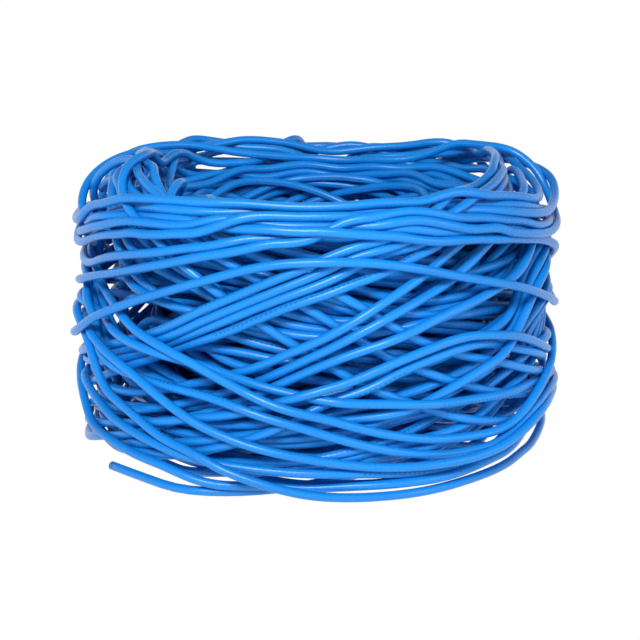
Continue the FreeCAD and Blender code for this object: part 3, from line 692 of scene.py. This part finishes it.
def pvc():
    """Blue PVC jacket: semi-gloss, a little uneven in tone, with fine scuffs, the
    faint lengthwise drawing marks of the extruder and a broken line of dark dashes."""
    m, t, b = shader("jacket_pvc")
    co = t.nodes.new("ShaderNodeTexCoord")
    uv = t.nodes.new("ShaderNodeSeparateXYZ")
    t.links.new(co.outputs["UV"], uv.inputs[0])
    big = node(t, "ShaderNodeTexNoise", Scale=9.0, Detail=3.0, Roughness=0.5)
    t.links.new(co.outputs["Object"], big.inputs["Vector"])
    tone = ramp(t, big.outputs["Fac"], [(0.32, (0.004, 0.184, 0.58)), (0.68, (0.006, 0.226, 0.69))])
    fine = node(t, "ShaderNodeTexNoise", Scale=420.0, Detail=4.0, Roughness=0.6)
    t.links.new(co.outputs["Object"], fine.inputs["Vector"])
    scuff = ramp(t, fine.outputs["Fac"], [(0.62, (0, 0, 0)), (0.80, (1, 1, 1))])
    worn = mix(t, node_scale(t, scuff.outputs["Color"], 0.10), tone.outputs["Color"], (0.08, 0.34, 0.86, 1))
    # the dashes: a narrow line that winds slowly round the jacket, broken along its length
    def step(source, lo, hi, a, c):
        r = node(t, "ShaderNodeMapRange", **{"From Min": lo, "From Max": hi, "To Min": a, "To Max": c})
        t.links.new(source, r.inputs["Value"])
        return r.outputs["Result"]

    def math_of(op, x, y):
        n = t.nodes.new("ShaderNodeMath")
        n.operation = op
        for i, v in ((0, x), (1, y)):
            if hasattr(v, "links"):
                t.links.new(v, n.inputs[i])
            else:
                n.inputs[i].default_value = v
        return n.outputs[0]

    turned = math_of("FRACT", math_of("ADD", uv.outputs[1], math_of("MULTIPLY", uv.outputs[0], 0.73)), 0.0)
    side = math_of("ABSOLUTE", math_of("SUBTRACT", turned, 0.5), 0.0)
    narrow = step(side, 0.030, 0.048, 1.0, 0.0)
    every = math_of("FRACT", math_of("MULTIPLY", uv.outputs[0], 1 / 0.0034), 0.0)
    dash = math_of("MULTIPLY", step(every, 0.04, 0.10, 0.0, 1.0), step(every, 0.58, 0.66, 1.0, 0.0))
    group = math_of("FRACT", math_of("MULTIPLY", uv.outputs[0], 1 / 0.61), 0.0)
    group = math_of("MULTIPLY", step(group, 0.02, 0.022, 0.0, 1.0), step(group, 0.26, 0.262, 1.0, 0.0))
    dashes = math_of("MULTIPLY", math_of("MULTIPLY", narrow, dash), math_of("MULTIPLY", group, 0.40))
    printed = mix(t, dashes, worn, (0.006, 0.020, 0.060, 1))
    t.links.new(printed, b.inputs["Base Color"])
    rough = node(t, "ShaderNodeMapRange", **{"From Min": 0.3, "From Max": 0.75, "To Min": 0.25, "To Max": 0.34})
    t.links.new(fine.outputs["Fac"], rough.inputs["Value"])
    t.links.new(rough.outputs["Result"], b.inputs["Roughness"])
    # drawing marks run along the cable: noise stretched along the jacket's length
    st = node(t, "ShaderNodeMapping")
    st.inputs["Scale"].default_value = (6.0, 60.0, 1.0)
    t.links.new(co.outputs["UV"], st.inputs["Vector"])
    draw = node(t, "ShaderNodeTexNoise", Scale=4.0, Detail=2.0, Roughness=0.5)
    t.links.new(st.outputs["Vector"], draw.inputs["Vector"])
    both = node(t, "ShaderNodeMath", operation="ADD")
    t.links.new(draw.outputs["Fac"], both.inputs[0])
    t.links.new(fine.outputs["Fac"], both.inputs[1])
    bump = node(t, "ShaderNodeBump", Strength=0.12, Distance=0.0004)
    t.links.new(both.outputs["Value"], bump.inputs["Height"])
    t.links.new(bump.outputs["Normal"], b.inputs["Normal"])
    b.inputs["IOR"].default_value = 1.46
    b.inputs["Specular IOR Level"].default_value = 0.42
    return m


def node_scale(t, source, k):
    n = t.nodes.new("ShaderNodeMath")
    n.operation = "MULTIPLY"
    t.links.new(source, n.inputs[0])
    n.inputs[1].default_value = k
    return n.outputs[0]


def plastic(name, a, b_, rough, scale=900.0):
    m, t, b = shader(name)
    co = t.nodes.new("ShaderNodeTexCoord")
    n = node(t, "ShaderNodeTexNoise", Scale=scale, Detail=3.0)
    t.links.new(co.outputs["Object"], n.inputs["Vector"])
    c = ramp(t, n.outputs["Fac"], [(0.35, a), (0.65, b_)])
    t.links.new(c.outputs["Color"], b.inputs["Base Color"])
    r = node(t, "ShaderNodeMapRange", **{"To Min": rough - 0.05, "To Max": rough + 0.08})
    t.links.new(n.outputs["Fac"], r.inputs["Value"])
    t.links.new(r.outputs["Result"], b.inputs["Roughness"])
    bump = node(t, "ShaderNodeBump", Strength=0.15, Distance=0.00005)
    t.links.new(n.outputs["Fac"], bump.inputs["Height"])
    t.links.new(bump.outputs["Normal"], b.inputs["Normal"])
    return m


def copper():
    m, t, b = shader("copper")
    b.inputs["Metallic"].default_value = 1.0
    co = t.nodes.new("ShaderNodeTexCoord")
    n = node(t, "ShaderNodeTexNoise", Scale=1500.0, Detail=4.0)
    t.links.new(co.outputs["Object"], n.inputs["Vector"])
    c = ramp(t, n.outputs["Fac"], [(0.3, (0.78, 0.33, 0.16)), (0.7, (0.92, 0.47, 0.26))])
    t.links.new(c.outputs["Color"], b.inputs["Base Color"])
    r = node(t, "ShaderNodeMapRange", **{"To Min": 0.18, "To Max": 0.40})
    t.links.new(n.outputs["Fac"], r.inputs["Value"])
    t.links.new(r.outputs["Result"], b.inputs["Roughness"])
    return m


SIDES = 14


def line(name, ctrl, res=3):
    """The cable's own line: a spline through the given points, read back as a polyline."""
    data = bpy.data.curves.new(name, "CURVE")
    data.dimensions = "3D"
    data.resolution_u = res
    s = data.splines.new("NURBS")
    s.points.add(len(ctrl) - 1)
    s.points.foreach_set("co", np.c_[ctrl, np.ones(len(ctrl))].astype(np.float32).ravel())
    s.order_u = 3
    s.use_endpoint_u = True
    o = bpy.data.objects.new(name, data)
    bpy.context.scene.collection.objects.link(o)
    me = bpy.data.meshes.new_from_object(o)
    v = np.empty(len(me.vertices) * 3)
    me.vertices.foreach_get("co", v)
    v = v.reshape(-1, 3)
    bpy.data.objects.remove(o)
    bpy.data.curves.remove(data)
    bpy.data.meshes.remove(me)
    keep = np.concatenate([[True], np.linalg.norm(np.diff(v, axis=0), axis=1) > 1e-6])
    return v[keep]


def tube(name, p, radius, material, start=0.0, hollow=None, caps=(True, True)):
    """A round tube along the polyline p, its rings carried along without twist. hollow is
    (inner radius, length) at the last end: the jacket's open bore there."""
    t = np.gradient(p, axis=0)
    t /= np.linalg.norm(t, axis=1)[:, None]
    n = np.empty_like(p)
    a = np.cross(t[0], [0, 0, 1.0])
    n[0] = a / np.linalg.norm(a)
    for i in range(1, len(p)):
        v = n[i - 1] - t[i] * n[i - 1].dot(t[i])
        n[i] = v / np.linalg.norm(v)
    b = np.cross(t, n)
    ang = TAU * np.arange(SIDES) / SIDES
    ring = np.cos(ang)[None, :, None] * n[:, None, :] + np.sin(ang)[None, :, None] * b[:, None, :]
    v = (p[:, None, :] + radius * ring).reshape(-1, 3)
    s = start + np.concatenate([[0], np.cumsum(np.linalg.norm(np.diff(p, axis=0), axis=1))])
    rows = [(v, s)]
    rings = len(p)
    if hollow:
        inner, deep = hollow
        back = s[-1] - s
        edge = inner + 0.12 * (radius - inner)
        i = np.arange(len(p))[back <= deep + 1e-9][::-1]
        extra = [(p[-1] + edge * ring[-1], s[-1:])]
        extra += [(p[j] + inner * ring[j], s[j:j + 1]) for j in i]
        for w, q in extra:
            rows.append((w, q))
            rings += 1
    verts = np.concatenate([w for w, _ in rows])
    length = np.concatenate([q for _, q in rows])
    m = SIDES
    g = np.arange(rings - 1)[:, None] * m
    j = np.arange(m)[None, :]
    k = (j + 1) % m
    quads = np.stack([g + j, g + k, g + m + k, g + m + j], -1).reshape(-1, 4)
    uv = np.empty((rings - 1, m, 4, 2))
    uv[..., 0] = np.stack([length[:-1], length[:-1], length[1:], length[1:]], -1)[:, None, :]
    uj = np.arange(m) / m
    uv[..., 1] = np.stack([uj, uj + 1 / m, uj + 1 / m, uj], -1)[None]
    faces = quads.tolist()
    uvs = uv.reshape(-1, 2).tolist()
    for end, on in ((0, caps[0]), (rings - 1, caps[1])):
        if on:
            f = (end * m + np.arange(m)).tolist()
            faces.append(f[::-1] if end == 0 else f)
            uvs += [[length[end], 0.5]] * m
    me = bpy.data.meshes.new(name)
    me.from_pydata(verts.tolist(), [], faces)
    layer = me.uv_layers.new(name="UVMap")
    layer.data.foreach_set("uv", np.array(uvs, np.float32).ravel())
    me.polygons.foreach_set("use_smooth", np.ones(len(me.polygons), bool))
    me.materials.append(material)
    me.update()
    o = bpy.data.objects.new(name, me)
    bpy.context.scene.collection.objects.link(o)
    return o


jacket = pvc()

# The lead: the free end on the floor, its cut end first, then in under the coil, where
# it turns up into the first turn. Millimetres; the first points are the CAD route's.
LEAD = [
    (-140.7, -93.0, 3.0), (-116.3, -116.6, 3.0), (-89.0, -141.0, 3.0), (-54.0, -144.8, 3.0), (-20.5, -137.5, 3.0), (10.0, -123.0, 3.0),
    (38.0, -103.0, 3.0), (60.0, -82.0, 3.0), (78.0, -54.0, 3.0), (87.0, -22.0, 3.0), (86.5, 12.0, 3.0),
    (75.0, 42.0, 3.2), (52.0, 65.0, 3.8), (22.0, 79.0, 4.8), (-10.0, 80.8, 6.0), (-40.0, 70.5, 7.4), (-64.0, 50.0, 9.0), (-78.0, 22.0, 10.6),
]

core, rng = wind_core(122)
inner, shell = wind_shell(core, OUTER)
outer = shell_xyz(np.concatenate(shell.out))
wound = np.concatenate([inner, outer])
near = abs(np.arange(len(wound)) - len(inner)) < 60
wound[near] = blur(wound, 8.0)[near]
path = resample(blur(resample(wound, 3.0), 1.6), 13.0)
ctrl = ease(np.concatenate([np.array(LEAD), path]), 28.0, 7)
ctrl = ease(part(ctrl, 5.7, len(LEAD), 20), 28.0, 7) / 1000.0

# the cable is too long for one piece: sections of about 36 m, each going on where the last one ends
seg = np.linalg.norm(np.diff(ctrl, axis=0), axis=1)
total = seg.sum()
count = int(math.ceil(total / 37.0))
cum = np.concatenate([[0], np.cumsum(seg)])
cuts = [int(np.searchsorted(cum, total * i / count)) for i in range(1, count)]
mids = [(ctrl[c] + ctrl[c + 1]) / 2 for c in cuts]
CAD = {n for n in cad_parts}
TAIL = sorted(n for n in CAD if n != "cable_coil")
done = 0.0
for i in range(count):
    a = [ctrl[0]] if i == 0 else [mids[i - 1]]
    lo = 1 if i == 0 else cuts[i - 1] + 1
    hi = len(ctrl) if i == count - 1 else cuts[i] + 1
    b = [] if i == count - 1 else [mids[i]]
    p = line(f"line_{i + 1}", np.array(a + list(ctrl[lo:hi]) + b))
    name = f"cable_{i + 1:02d}"
    if i == 0:
        # straight over the stripped length, with rings where the bore ends
        p = p[::-1]
        far = p[-1]
        end = np.array(LEAD[0]) / 1000.0
        way = np.array(LEAD[1]) / 1000.0 - end
        way /= np.linalg.norm(way)
        deep = 0.01867
        keep = np.linalg.norm(p - end, axis=1) > deep + 0.004
        p = np.concatenate([p[keep], [end + way * (deep + 0.0005), end + way * deep, end + way * deep * 0.5, end]])
        o = tube(name, p, 0.003, jacket, hollow=(0.0025, deep), caps=(False, True))
    else:
        o = tube(name, p, 0.003, jacket, start=done, caps=(False, i == count - 1))
    length = float(np.linalg.norm(np.diff(p, axis=0), axis=1).sum())
    done += length
    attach(o, "root")
    if i == 0:
        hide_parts("cable_coil", "tail_cable", "tail_jacket")
print("cable length", round(done, 2), "m in", count, "sections")

# ------------------------------------------------- the wires in the cut end
PE = {
    "insulation_blue": ("skin_blue", (0.010, 0.075, 0.48), (0.014, 0.095, 0.55)),
    "insulation_orange": ("skin_orange", (0.80, 0.19, 0.012), (0.86, 0.24, 0.02)),
    "insulation_green": ("skin_green", (0.015, 0.30, 0.06), (0.02, 0.36, 0.08)),
    "insulation_brown": ("skin_brown", (0.115, 0.042, 0.014), (0.15, 0.058, 0.02)),
}
mats = {"copper": copper(), "separator": plastic("separator", (0.62, 0.62, 0.60), (0.72, 0.72, 0.70), 0.42),
        "ripcord": plastic("ripcord", (0.68, 0.66, 0.60), (0.80, 0.78, 0.72), 0.7, 2500.0)}
for key, (slot, a, b) in PE.items():
    mats[key] = plastic(slot, a, b, 0.36)
for n in TAIL:
    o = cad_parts[n]
    pick = None
    if n.startswith("conductor_"):
        pick = mats["copper"]
    elif n.startswith("insulation_white"):
        pick = mats.get(n + "_")
        if pick is None:
            c = PE["insulation_" + n.split("_")[-1]][1]
            pale = tuple(0.72 + 0.10 * v for v in c)
            pick = plastic("skin_white_" + n.split("_")[-1], pale, tuple(min(1, v + 0.08) for v in pale), 0.38)
    elif n.startswith("insulation_"):
        pick = mats[n]
    elif n == "pair_separator":
        pick = mats["separator"]
    elif n == "ripcord":
        pick = mats["ripcord"]
    if pick is not None:
        for s in o.material_slots:
            s.material = pick

# ---------------------------------------------------------- floor, light, view
floor = bpy.data.meshes.new("floor")
floor.from_pydata([(-80, -80, 0), (80, -80, 0), (80, 80, 0), (-80, 80, 0)], [], [(0, 1, 2, 3)])
fo = bpy.data.objects.new("floor", floor)
bpy.context.scene.collection.objects.link(fo)
white = bpy.data.materials.new("studio_white")
white.use_nodes = True
wt = white.node_tree
wt.nodes.clear()
em = node(wt, "ShaderNodeEmission", Strength=1.0)
em.inputs["Color"].default_value = (1, 1, 1, 1)
wo = wt.nodes.new("ShaderNodeOutputMaterial")
wt.links.new(em.outputs[0], wo.inputs["Surface"])
floor.materials.append(white)

world = bpy.data.worlds.new("studio")
bpy.context.scene.world = world
world.use_nodes = True
bg = world.node_tree.nodes["Background"]
bg.inputs[0].default_value = (1, 1, 1, 1)
# white round the horizon, dimmer overhead
wc = world.node_tree.nodes.new("ShaderNodeTexCoord")
wz = world.node_tree.nodes.new("ShaderNodeSeparateXYZ")
wr = node(world.node_tree, "ShaderNodeMapRange", **{"From Min": 0.20, "From Max": 0.50, "To Min": 1.0, "To Max": 0.16})
world.node_tree.links.new(wc.outputs["Generated"], wz.inputs[0])
world.node_tree.links.new(wz.outputs["Z"], wr.inputs["Value"])
world.node_tree.links.new(wr.outputs["Result"], bg.inputs[1])


def lamp(name, at, aim, size, power, color=(1, 1, 1)):
    d = bpy.data.lights.new(name, "AREA")
    d.shape = "RECTANGLE"
    d.size, d.size_y = size
    d.energy = power
    d.color = color
    o = bpy.data.objects.new(name, d)
    bpy.context.scene.collection.objects.link(o)
    o.location = at
    from mathutils import Vector
    o.rotation_euler = (Vector(aim) - Vector(at)).to_track_quat("-Z", "Y").to_euler()
    return o


lamp("key", (-0.25, -1.3, 0.95), (0, 0, 0.1), (0.40, 0.28), 22.0)
lamp("fill", (1.2, -0.9, 0.7), (0, 0, 0.1), (0.6, 0.6), 4.0)

cam = bpy.data.cameras.new("camera")
co = bpy.data.objects.new("camera", cam)
bpy.context.scene.collection.objects.link(co)
cam.sensor_width = 36.0
cam.lens = 1370.0 * 36.0 / 640.0
co.location = (0.0, -0.9831, 0.3223)
co.rotation_euler = (math.radians(90 - 13.68), 0.0, math.radians(-0.1255))
bpy.context.scene.camera = co
bpy.context.scene.view_settings.view_transform = "Standard"
bpy.context.scene.view_settings.look = "None"
